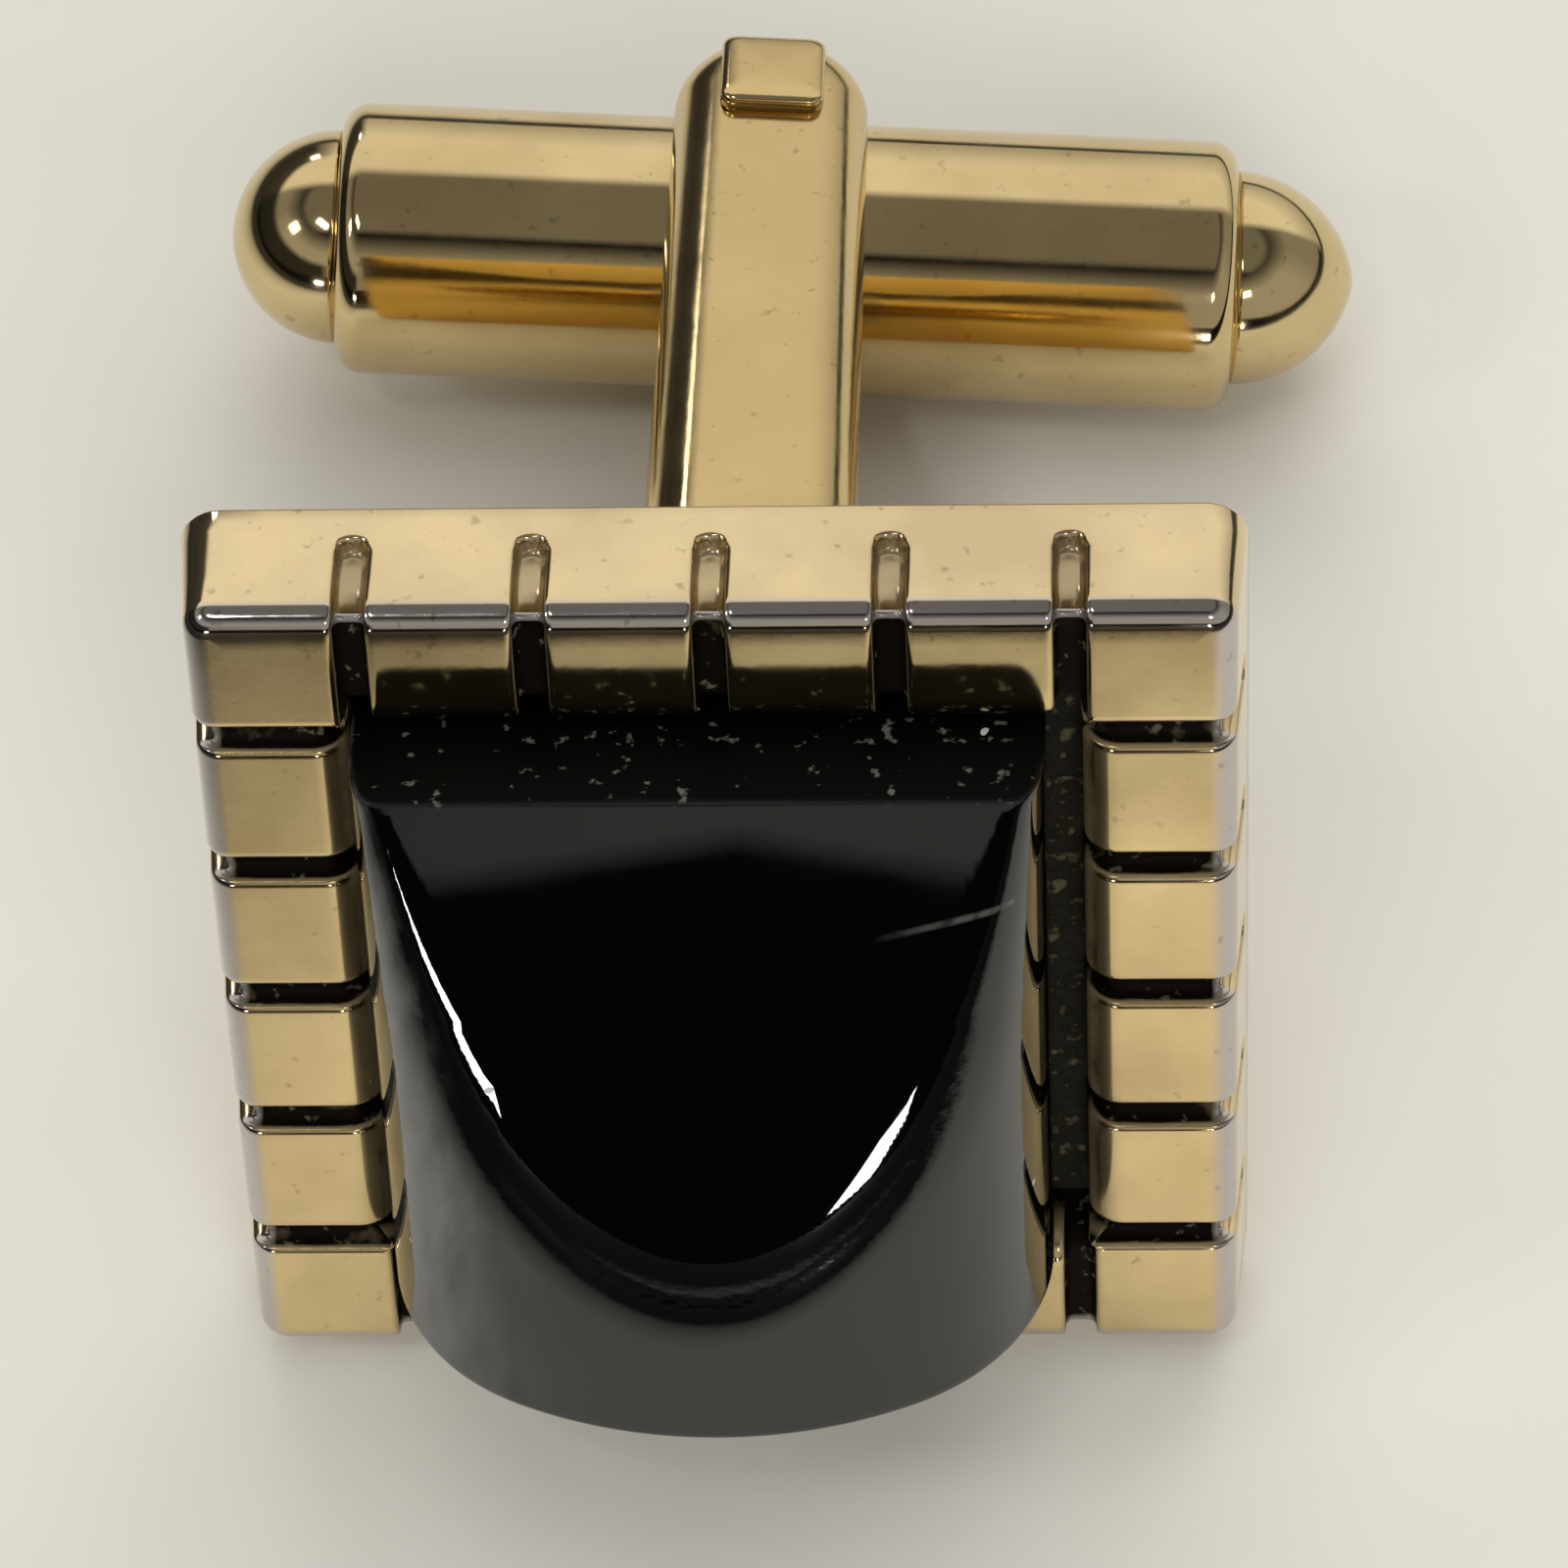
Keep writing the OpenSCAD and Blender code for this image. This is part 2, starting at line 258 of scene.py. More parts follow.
def sharpen(mesh, degrees):
    """Marks the edges that are sharper than an angle, so that smooth shading stops there."""
    limit = math.radians(degrees)
    for edge in mesh.edges:
        if len(edge.link_faces) == 2 and edge.calc_face_angle(0) > limit:
            edge.smooth = False


def skin(mesh, rows, ring=True):
    """Quads over a table of points. A row joins the next, and a ring's last column joins its first."""
    table = [[mesh.verts.new(point) for point in row] for row in rows]
    width = len(rows[0])
    for near, far in zip(table, table[1:]):
        for i in range(width if ring else width - 1):
            j = (i + 1) % width
            mesh.faces.new((near[i], near[j], far[j], far[i]))
    return table


def cap_ends(mesh, table):
    """Closes a skin with a face on its first row and one on its last."""
    mesh.faces.new(table[0])
    mesh.faces.new(table[-1])


def revolve(mesh, profile, steps):
    """A body of revolution about Z, from a profile of radius and height."""
    turns = [math.tau * i / steps for i in range(steps)]
    skin(mesh, [[(r * math.cos(t), r * math.sin(t), z) for t in turns] for r, z in profile])


# Materials

def node(tree, kind, **values):
    """A shader node with its values, which name an input, or a property of the node."""
    made = tree.nodes.new(kind)
    for name, value in values.items():
        if hasattr(made, name):
            setattr(made, name, value)
        else:
            made.inputs[name.replace("_", " ")].default_value = value
    return made


def surface(name):
    """A new material, with its tree, its shader and its object coordinates."""
    material = bpy.data.materials.new(name)
    material.use_nodes = True
    tree = material.node_tree
    tree.nodes.clear()
    shader = node(tree, "ShaderNodeBsdfPrincipled")
    output = node(tree, "ShaderNodeOutputMaterial")
    tree.links.new(shader.outputs["BSDF"], output.inputs["Surface"])
    coords = node(tree, "ShaderNodeTexCoord")
    return material, tree, shader, coords.outputs["Object"]


def noise(tree, coords, scale, detail=4.0, stretch=None):
    """Noise of a scale per metre, drawn out along the axes where a stretch is given."""
    if stretch:
        mapping = node(tree, "ShaderNodeMapping", Scale=stretch)
        tree.links.new(coords, mapping.inputs["Vector"])
        coords = mapping.outputs["Vector"]
    made = node(tree, "ShaderNodeTexNoise", Scale=scale, Detail=detail)
    tree.links.new(coords, made.inputs["Vector"])
    return made.outputs["Fac"]


def painted(tree, name):
    """The value that a mesh holds at each point under a name, or 0 where it holds none."""
    return node(tree, "ShaderNodeAttribute", attribute_name=name).outputs["Fac"]


def remap(tree, value, low, high, to_low=0.0, to_high=1.0):
    """A value carried from one range to another, and held at its ends."""
    made = node(tree, "ShaderNodeMapRange", clamp=True)
    made.inputs["From Min"].default_value = low
    made.inputs["From Max"].default_value = high
    made.inputs["To Min"].default_value = to_low
    made.inputs["To Max"].default_value = to_high
    tree.links.new(value, made.inputs["Value"])
    return made.outputs["Result"]


def maths(tree, operation, a, b, clamp=True):
    """The result of a maths node. Each of its two values is a plain float or a socket."""
    made = node(tree, "ShaderNodeMath", operation=operation, use_clamp=clamp)
    for socket, value in zip(made.inputs, (a, b)):
        if isinstance(value, float):
            socket.default_value = value
        else:
            tree.links.new(value, socket)
    return made.outputs["Value"]


def mix(tree, mask, a, b):
    """Mix of two colours, each a plain colour or a socket, by a mask."""
    made = node(tree, "ShaderNodeMix", data_type="RGBA")
    tree.links.new(mask, made.inputs["Factor"])
    for socket, value in ((made.inputs[6], a), (made.inputs[7], b)):
        if isinstance(value, tuple):
            socket.default_value = (*value, 1)
        else:
            tree.links.new(value, socket)
    return made.outputs[2]


def bump(tree, shader, height, strength):
    made = node(tree, "ShaderNodeBump", Strength=strength, Distance=BUMP_HEIGHT)
    tree.links.new(height, made.inputs["Height"])
    tree.links.new(made.outputs["Normal"], shader.inputs["Normal"])


def gold(name, bright, dull, tarnish_and_shade, rough_low, rough_high, ripple):
    """Gold plate: clouded, specked and rippled, worn through in places and darkened in others by painted
    shade and soiling, as the mesh says.

    The rear face of the frame is unworn. The darkened parts are dull, hold lint, and aren't metal.
    """
    material, tree, shader, coords = surface(name)
    clouds = remap(tree, noise(tree, coords, 420, 5), 0.35, 0.68)
    plate = mix(tree, painted(tree, "wear"), mix(tree, clouds, bright, dull), WORN_THROUGH)
    plate = mix(tree, painted(tree, "unworn"), plate, UNWORN)
    specks = remap(tree, noise(tree, coords, 3800, 3), 0.66, 0.74)
    patchy = remap(tree, noise(tree, coords, 1500, 4), 0.25, 0.75, 0.92, 1.3)
    # Painted shade and soiling from the mesh, and real specks, darken the plate and take away its metal
    depth = maths(tree, "MULTIPLY", painted(tree, "shade_and_dirt"), patchy)
    shade_and_dirt_cover = maths(tree, "MAXIMUM", depth, maths(tree, "MULTIPLY", specks, 0.3))
    lint = remap(tree, noise(tree, coords, 4200, 3), 0.62, 0.68)
    tree.links.new(mix(tree, shade_and_dirt_cover, plate, mix(tree, lint, tarnish_and_shade, LINT)), shader.inputs["Base Color"])
    tree.links.new(remap(tree, depth, *SHADE_AND_DIRT_HIDE, 1.0, 0.0), shader.inputs["Metallic"])
    tree.links.new(remap(tree, depth, *SHADE_AND_DIRT_HIDE, 0.5, 0.05), shader.inputs["Specular IOR Level"])
    rough = remap(tree, noise(tree, coords, 900, 5), 0.3, 0.7, rough_low, rough_high)
    worn = maths(tree, "ADD", rough, maths(tree, "MULTIPLY", depth, 0.4))
    tree.links.new(worn, shader.inputs["Roughness"])
    fine = noise(tree, coords, 2600, 6, stretch=(1.0, 0.25, 1.0))
    bump(tree, shader, fine, ripple)
    return material


def distance_along(tree, coords, start, direction):
    """How far each point lies from a start, measured along a direction."""
    shifted = node(tree, "ShaderNodeVectorMath", operation="SUBTRACT")
    tree.links.new(coords, shifted.inputs[0])
    shifted.inputs[1].default_value = start
    reach = node(tree, "ShaderNodeVectorMath", operation="DOT_PRODUCT")
    tree.links.new(shifted.outputs["Vector"], reach.inputs[0])
    reach.inputs[1].default_value = direction
    return reach.outputs["Value"]


def scratch(tree, coords):
    """Mask of the one long scratch on the facet, which fades towards its left end."""
    across = distance_along(tree, coords, SCRATCH_START, SCRATCH_ACROSS)
    along = distance_along(tree, coords, SCRATCH_START, SCRATCH_ALONG)
    line = remap(tree, maths(tree, "ABSOLUTE", across, 0.0), SCRATCH_HALF, SCRATCH_CORE)
    left_end = remap(tree, along, 0, SCRATCH_FADE_LEN)
    right_end = remap(tree, along, SCRATCH_LEN, 0.98 * SCRATCH_LEN)
    ends = maths(tree, "MULTIPLY", left_end, right_end)
    broken = remap(tree, noise(tree, coords, 5000, 3), 0.35, 0.55, 0.3, 1.0)
    return maths(tree, "MULTIPLY", maths(tree, "MULTIPLY", line, ends), broken)


def black_stone():
    """Polished black stone: smeared, dusty, with scuffs and painted light on the left flank, chipped edges
    and a scratch.
    """
    material, tree, shader, coords = surface("polished_black_stone")
    shader.inputs["IOR"].default_value = STONE_IOR
    shade_and_dirt = painted(tree, "shade_and_dirt")
    wear = painted(tree, "wear")
    dirty = remap(tree, shade_and_dirt, *STONE_DIRT_HIDES)
    dust = remap(tree, noise(tree, coords, 3600, 3), 0.64, 0.70)
    dusty = maths(tree, "MULTIPLY", dust, dirty)
    fluff = remap(tree, noise(tree, coords, 2300, 1), 0.79, 0.80)
    facing = node(tree, "ShaderNodeSeparateXYZ")
    geometry = node(tree, "ShaderNodeNewGeometry")
    tree.links.new(geometry.outputs["Normal"], facing.inputs["Vector"])
    scuffs = remap(tree, noise(tree, coords, 1500, 4, stretch=(1.0, 1.0, 0.25)), 0.4, 0.75)
    # Scuffs and painted light: the lighter marks lie only on the flank that faces left
    scuff_and_light_mask = maths(tree, "MULTIPLY", scuffs, remap(tree, facing.outputs["X"], -0.35, -0.7))
    body = mix(tree, scuff_and_light_mask, STONE_BLACK, STONE_SCUFF_AND_LIGHT)
    body = mix(tree, dusty, body, STONE_DUST)
    body = mix(tree, scratch(tree, coords), body, STONE_SCRATCH)
    tree.links.new(mix(tree, fluff, body, STONE_FLUFF), shader.inputs["Base Color"])
    smear = remap(tree, noise(tree, coords, 700, 5, stretch=(1.0, 1.0, 0.3)), 0.4, 0.75, 0.01, 0.025)
    ground = maths(tree, "MULTIPLY", dirty, 0.6)
    worn = maths(tree, "MULTIPLY", wear, 0.06)
    rough = maths(tree, "ADD", smear, maths(tree, "MAXIMUM", ground, worn))
    rough = maths(tree, "ADD", rough, maths(tree, "MULTIPLY", fluff, 0.5))
    tree.links.new(rough, shader.inputs["Roughness"])
    specular = remap(tree, shade_and_dirt, *STONE_DIRT_HIDES, 0.5, 0.06)
    tree.links.new(specular, shader.inputs["Specular IOR Level"])
    chips = maths(tree, "MULTIPLY", noise(tree, coords, 6000, 4), maths(tree, "MULTIPLY", wear, 0.7))
    polish = maths(tree, "MULTIPLY", noise(tree, coords, 1400, 3), 0.008)
    bump(tree, shader, maths(tree, "ADD", polish, chips), 0.35)
    return material


def plain(name, colour, other, metallic, rough, start=0.35, end=0.65):
    """Two colours that change over at a level of the grain, and an uneven roughness."""
    material, tree, shader, coords = surface(name)
    shader.inputs["Metallic"].default_value = metallic
    grain = noise(tree, coords, 4200, 4)
    tint = mix(tree, remap(tree, grain, start, end), colour, other)
    tree.links.new(tint, shader.inputs["Base Color"])
    tree.links.new(remap(tree, grain, 0.3, 0.7, rough * 0.8, rough * 1.2), shader.inputs["Roughness"])
    bump(tree, shader, grain, 0.15)
    return material


# The frame's near-black hollow colour is painted shade in its grooves and seat, as well as their soiling
frame_gold = gold("worn_frame_gold", bright=(0.90, 0.70, 0.37), dull=(0.69, 0.52, 0.27),
                  tarnish_and_shade=(0.005, 0.0035, 0.002), rough_low=0.06, rough_high=0.12, ripple=0.10)
satin_gold = gold("satin_gold", bright=(0.69, 0.52, 0.26), dull=(0.62, 0.47, 0.23),
                  tarnish_and_shade=(0.020, 0.015, 0.008), rough_low=0.10, rough_high=0.18, ripple=0.22)
polished_gold = gold("polished_gold", bright=(0.72, 0.57, 0.31), dull=(0.60, 0.46, 0.24),
                     tarnish_and_shade=(0.08, 0.05, 0.02), rough_low=0.05, rough_high=0.12, ripple=0.08)
stone_finish = black_stone()
cement_finish = plain("set_cement", (0.011, 0.009, 0.004), (0.11, 0.10, 0.05), metallic=0.0, rough=0.85,
                      start=0.57, end=0.68)
spring_finish = plain("spring_steel", (0.55, 0.55, 0.56), (0.45, 0.45, 0.46), metallic=1.0, rough=0.3)


# Frame with its grooved border

def border_section():
    """Section of the border from the seat's floor to the middle of the rear face.

    Each entry has a place outwards and towards the front, and the outward normal.
    """
    draft = math.atan2(BEZEL_DRAFT, BEZEL_T)
    turn = math.degrees(draft)
    section = [(HALF_SEAT, blend(SEAT_FLOOR_T, BEZEL_T - LIP_R, i / 3), -1, 0) for i in range(3)]

    def bend(centre_x, centre_y, radius, start, end, steps):
        normals = arc(0, 0, 1, start, end, steps)
        section.extend((centre_x + radius * x, centre_y + radius * y, x, y) for x, y in normals)

    bend(HALF_SEAT + LIP_R, BEZEL_T - LIP_R, LIP_R, 180, 90, 10)
    edge_x = half_w - (BEZEL_T - EDGE_R) * math.tan(draft) - EDGE_R / math.cos(draft)
    flat_start = HALF_SEAT + LIP_R
    section.extend((blend(flat_start, edge_x, i / 5), BEZEL_T, 0, 1) for i in range(1, 5))
    bend(edge_x, BEZEL_T - EDGE_R, EDGE_R, 90, turn, 8)
    end_y = GROOVE_STOP + GROOVE_R
    shares = (1.9, 1.0, 0.6, 0.25, 0.0, -0.3, -0.6, -0.8, -0.92, -1.0, -1.12, -1.3, -1.6)
    for share in shares:
        y = end_y + share * GROOVE_R
        section.append((half_w - y * math.tan(draft), y, math.cos(draft), math.sin(draft)))
    bend(half_w - REAR_R, REAR_R, REAR_R, turn, -90, 4)
    section.append((half_w / 8, 0, 0, -1))
    return section


def groove_depth(across):
    """Depth of a groove at a distance from its middle, which is a share of its half width."""
    if across < 1:
        return GROOVE_EDGE_DROP + (GROOVE_D - GROOVE_EDGE_DROP) * math.sqrt(1 - across ** 6)
    rest = 1 - (across - 1) / GROOVE_EDGE_SHARE
    return GROOVE_EDGE_DROP * rest * rest if rest > 0 else 0


def side_stations():
    """Places along one side of the border, close together at the grooves, and the grooves' middles."""
    corner_at = half_w - CORNER_R
    pitch = 2 * half_w / (GROOVE_COUNT + 1)
    shares = (0, 0.3, 0.55, 0.75, 0.87, 0.94, 0.98, 1.0, 1.1, 1.25, 1.4, 1.55)
    both_ways = {sign * share for share in shares for sign in (-1, 1)}
    middles = [(k - (GROOVE_COUNT - 1) / 2) * pitch for k in range(GROOVE_COUNT)]
    at_grooves = [middle + share * GROOVE_R for middle in middles for share in both_ways]
    blocks = [middle + pitch * share for middle in middles for share in (-0.5, -0.3, 0.3, 0.5)]
    ends = [-corner_at, corner_at]
    return sorted({round(s, 9) for s in at_grooves + blocks + ends if abs(s) <= corner_at}), middles


def bezel_mesh():
    """The border swept round the square, with the grooves pressed in along its normals.

    Where a station would lie past the corner's diagonal, it is held there and gets no groove. The lip of
    the seat stays square in the corner blocks.
    """
    corner_at = half_w - CORNER_R
    stations, middles = side_stations()
    section = border_section()
    end_y = GROOVE_STOP + GROOVE_R
    front_y = BEZEL_T - EDGE_R
    mesh = bmesh.new()
    shade_and_dirt = mesh.verts.layers.float.new("shade_and_dirt")
    wear = mesh.verts.layers.float.new("wear")
    unworn = mesh.verts.layers.float.new("unworn")
    edge_x = half_w - BEZEL_DRAFT - EDGE_R
    rows = []
    shades = []
    for u, v, normal_u, normal_v in section:
        inner = u < corner_at
        outer = u > corner_at
        below_edge = v < front_y
        fade = max(0, 1 - (front_y - v) / GROOVE_FADE_LEN) if below_edge and inner else 1
        bend = 1 - (1 - GROOVE_BEND_SHARE) * 2 * normal_u * normal_v if outer else 1
        # How much of the grooves' painted shade and soiling each part of the border keeps
        if v > front_y:
            shade_and_dirt_kept = blend(1, BEND_SHADE_AND_DIRT, min(1, max(0, (u - edge_x) / EDGE_R)))
        else:
            shade_and_dirt_kept = WALL_SHADE_AND_DIRT if outer else 1
        # Painted shade and soiling in the seat: its wall darkens with depth below the front face
        seat_shade_and_dirt = 0
        if inner and v > 0:
            seat_shade_and_dirt = max(0, min(1, (BEZEL_T - v) / SEAT_SHADE_AND_DIRT_DEPTH)) ** SEAT_SHADE_AND_DIRT_POWER
        row = []
        shade = []
        for side in range(4):
            turn = Matrix.Rotation(side * math.tau / 4, 3, "Y")
            for station in stations:
                along = max(-u, min(u, station))
                across = min(abs(along - middle) for middle in middles)
                if outer and v < end_y:
                    across = math.hypot(across, end_y - v)
                grooved = abs(station) <= u and v > 0
                depth = groove_depth(across / GROOVE_R) * fade * bend if grooved else 0
                square_lip = 0 < normal_v < 1 and inner and abs(along) > HALF_SEAT
                height = BEZEL_T - depth if square_lip else v - depth * normal_v
                out = u if square_lip else u - depth * normal_u
                row.append(turn @ Vector((along, -height, out)))
                # Painted shade and soiling in the grooves: they darken with depth
                groove_shade_and_dirt = min(1, depth / (GROOVE_SHADE_AND_DIRT_START * GROOVE_D)) * shade_and_dirt_kept
                shade.append(max(groove_shade_and_dirt, 0 if square_lip else seat_shade_and_dirt))
            for x, z in arc(corner_at, corner_at, max(0, u - corner_at), 90, 0, CORNER_STEPS)[1:-1]:
                row.append(turn @ Vector((min(x, u), -height, min(z, u))))
                shade.append(shade[-1])
        rows.append(row)
        shades.append(shade)
    table = skin(mesh, rows)
    for row, shade, (u, v, normal_u, normal_v) in zip(table, shades, section):
        rubbed = min(1, EDGE_WEAR * normal_u * normal_v) if u > edge_x and v > 0 else 0
        at_the_back = normal_v < -0.9
        for vertex, value in zip(row, shade):
            vertex[shade_and_dirt] = value
            vertex[wear] = rubbed
            vertex[unworn] = 1.0 if at_the_back else 0.0
    cap_ends(mesh, table)
    sharpen(mesh, 50)
    return mesh


# Stone

def stone_mesh():
    """Half-round bar whose upper part is ground to a slanted facet with a softly rounded edge.

    Its section is an arch of three arcs, two shoulders and a crown. The width of the rounding is measured
    in height, so it follows the slope of the facet and the tilt of each step of the arch.
    """
    low, high = span("stone", BEZEL)
    half = (high.x - low.x) / 2
    middle = (high.x + low.x) / 2
    base_h = -high.y - BEZEL_T
    flat = half - STONE_SHOULDER_R
    spare = STONE_RISE - STONE_SHOULDER_R
    crown_r = (flat ** 2 + STONE_RISE ** 2 - STONE_SHOULDER_R ** 2) / (2 * spare)
    meet = math.degrees(math.asin(flat / (crown_r - STONE_SHOULDER_R)))
    crown_h = STONE_SIDE_H + STONE_RISE - crown_r
    arch = [(half, base_h), (half, blend(base_h, STONE_SIDE_H, 0.5))]
    arch += arc(flat, STONE_SIDE_H, STONE_SHOULDER_R, 0, 90 - meet, 24)[:-1]
    arch += arc(0, crown_h, crown_r, 90 - meet, 90 + meet, 110)[:-1]
    arch += arc(-flat, STONE_SIDE_H, STONE_SHOULDER_R, 90 + meet, 180, 24)
    arch += [(-half, blend(base_h, STONE_SIDE_H, 0.5)), (-half, base_h)]
    steps = zip(arch, arch[1:] + arch[-2:-1])
    tilts = [min(STEEPEST, abs(a[1] - b[1]) / max(abs(a[0] - b[0]), LEAST_RUN)) for a, b in steps]
    core_h = blend(base_h, STONE_SIDE_H, 0.6)
    mesh = bmesh.new()
    shade_and_dirt = mesh.verts.layers.float.new("shade_and_dirt")
    wear = mesh.verts.layers.float.new("wear")
    first, last = low.z + STONE_END_R, high.z - STONE_END_R
    levels = [(blend(first, last, i / FACET_LEVELS), 0) for i in range(FACET_LEVELS + 1)]
    rounding = [(STONE_END_R * y, STONE_END_R * (1 - x)) for x, y in arc(0, 0, 1, 90, 30, 2)]
    stations = [(first - past, inset) for past, inset in rounding]
    stations += levels
    stations += [(last + past, inset) for past, inset in reversed(rounding)]
    rows = []
    edges = []
    for z, inset in stations:
        facet_h = FACET_START_H + FACET_CROWN + (high.z - z) * math.tan(FACET_SLOPE)
        soft = blend(FACET_CRISP_SHARE, 1, min(1, (high.z - z) / FACET_CRISP_LEN))
        row = []
        edge = []
        for (x, h), tilt in zip(arch, tilts):
            steep = math.hypot(math.tan(FACET_SLOPE), tilt)
            width = FACET_BLEND * soft * steep
            sag = min(1.0, max(0.0, 1 - (h - facet_h) / (FACET_PILLOW_REACH * soft * steep)))
            facet_top = facet_h - FACET_PILLOW * soft * sag * sag
            top = smooth_min(h, facet_top, width) if h > STONE_SIDE_H else h
            edge.append(max(0.0, 1 - abs(h - facet_h) / width))
            away = Vector((x, top - core_h))
            pull = 1 - inset / away.length
            row.append(Vector((middle + x * pull, -(BEZEL_T + core_h + away.y * pull), z)))
        rows.append(row)
        edges.append(edge)
    table = skin(mesh, rows)
    for row, edge, (z, _) in zip(table, edges, stations):
        shade_and_dirt_cover = max(STONE_LEAST_GRIME, min(1.0, (z - last) / STONE_END_R))
        for vertex, value in zip(row, edge):
            vertex[shade_and_dirt] = shade_and_dirt_cover
            vertex[wear] = value
    cap_ends(mesh, table)
    sharpen(mesh, 60)
    return mesh


# Post and pin

def arm_mesh():
    """Stamped channel with pillow edges and a round end about the pivot, open towards the toggle.

    Each entry of its profile has a share of the half width, an inset from the edge, and a height.
    """
    low, high = span("upper_arm", CLOSURE)
    start = low.y
    inner_z = low.z
    depth = high.z - low.z

    def section(inset):
        edge = ARM_EDGE_R - inset
        top = depth - inset
        quarter = arc(0, 0, 1, 0, 90, 10)
        shoulder = [(1, inset + edge - edge * c, top - edge + edge * s) for c, s in quarter]
        across = [(share, inset + edge, top) for share in (0.75, 0.5, 0.25, 0)]
        return [(1, inset, 0)] + shoulder + across

    profile = section(ARM_WALL)[::-1] + section(0)
    straight = 10
    bend = 36
    mesh = bmesh.new()
    shade_and_dirt = mesh.verts.layers.float.new("shade_and_dirt")
    rows = []
    for share, edge, height in profile:
        row = []

        def offset(y):
            half = blend(ARM_END_HALF, ARM_BASE_HALF, min(1, max(0, y / start)))
            return (half - edge) * share

        for i in range(straight):
            y = blend(start, 0, i / straight)
            row.append(Vector((-offset(y), y, inner_z + height)))
        row += [Vector((x, y, inner_z + height)) for x, y in arc(0, 0, offset(0), 180, 0, bend)]
        for i in range(straight):
            y = blend(0, start, (i + 1) / straight)
            row.append(Vector((offset(y), y, inner_z + height)))
        rows.append(row)
    table = skin(mesh, rows, ring=False)
    for index, row in enumerate(table):
        for vertex in row:
            # The inner skin of the channel is darker
            vertex[shade_and_dirt] = ARM_INNER_DARKENING if index < len(profile) / 2 else 0.0
    for end in (0, -1):
        mesh.faces.new([row[end] for row in table])
    sharpen(mesh, 40)
    return mesh


def round_square(half, corner, steps):
    """Outline of a square with round corners, about the origin."""
    centre = half - corner
    points = []
    for turn, (x, y) in enumerate(((1, 1), (-1, 1), (-1, -1), (1, -1))):
        points += arc(x * centre, y * centre, corner, 90 * turn, 90 * turn + 90, steps)
    return points


def pin_mesh():
    """Square bar with a peened square head at each end."""
    arm_top = span("upper_arm", CLOSURE)[1].z
    head_t = span("pivot_pin", CLOSURE)[1].z - arm_top
    dome = [(0.0, 1.0), (0.06, 0.997), (0.35, 0.985), (0.62, 0.96), (0.82, 0.91), (0.93, 0.83),
            (0.985, 0.7), (1.0, 0.5), (1.0, 0.0)]
    mesh = bmesh.new()
    outline = round_square(HEAD_HALF, PIN_CORNER_R, 6)
    bar = round_square(PIN_HALF, PIN_CORNER_R, 6)
    rows = [[Vector((x * s, y * s, arm_top + head_t * h)) for x, y in outline] for s, h in dome]
    rows += [[Vector((x, y, arm_top - CLEAR)) for x, y in bar]]
    rows += [[Vector((x, y, -arm_top + CLEAR)) for x, y in bar]]
    rows += [[Vector((x * s, y * s, -arm_top - head_t * h)) for x, y in outline]
             for s, h in reversed(dome)]
    skin(mesh, rows)
    sharpen(mesh, 50)
    return mesh


# Toggle

def barrel_mesh():
    """Rolled tube with its ends turned in to the caps' spigots."""
    low, high = span("toggle_barrel", TOGGLE)
    radius = high.x
    edge = BARREL_EDGE_R
    steps = 30
    outside = [(MOUTH_R, high.z)]
    outside += arc(radius - edge, high.z - edge, edge, 90, 0, 12)
    outside += [(radius, blend(high.z - edge, low.z + edge, i / steps)) for i in range(1, steps)]
    outside += arc(radius - edge, low.z + edge, edge, 0, -90, 12)
    outside += [(MOUTH_R, low.z)]
    bore = radius - BARREL_WALL
    inside = [(MOUTH_R, low.z + BARREL_WALL)]
    inside += [(bore, blend(inside[0][1], high.z - BARREL_WALL, i / steps)) for i in range(steps + 1)]
    inside += [(MOUTH_R, high.z - BARREL_WALL), outside[0]]
    mesh = bmesh.new()
    revolve(mesh, outside + inside, 128)
    sharpen(mesh, 50)
    return mesh


def drill_pin_holes(barrel):
    """Round holes through the barrel's wall for the pin, which runs across it.

    The cut leaves slivers and faces of many corners, which are cleaned away.
    """
    cutter_mesh = bmesh.new()
    reach = span("toggle_barrel", CLOSURE)[1].z * 1.2
    revolve(cutter_mesh, [(0, -reach), (PIN_HOLE_R, -reach), (PIN_HOLE_R, reach), (0, reach)], 64)
    bmesh.ops.remove_doubles(cutter_mesh, verts=cutter_mesh.verts, dist=WELD)
    bmesh.ops.recalc_face_normals(cutter_mesh, faces=cutter_mesh.faces)
    cutter_mesh.transform(CLOSURE)
    cutter = in_scene("pin_hole_cutter", finished("pin_hole_cutter", cutter_mesh))
    cut = barrel.modifiers.new("pin_holes", "BOOLEAN")
    cut.object = cutter
    cut.operation = "DIFFERENCE"
    cut.solver = "EXACT"
    bpy.context.view_layer.update()
    evaluated = barrel.evaluated_get(bpy.context.evaluated_depsgraph_get())
    drilled = bpy.data.meshes.new_from_object(evaluated)
    barrel.modifiers.clear()
    barrel.data = drilled
    cleaned = bmesh.new()
    cleaned.from_mesh(drilled)
    bmesh.ops.remove_doubles(cleaned, verts=cleaned.verts, dist=WELD)
    bmesh.ops.triangulate(cleaned, faces=[face for face in cleaned.faces if len(face.verts) > 4])
    bmesh.ops.dissolve_degenerate(cleaned, edges=cleaned.edges, dist=WELD)
    cleaned.to_mesh(drilled)
    cleaned.free()
    bpy.data.objects.remove(cutter)


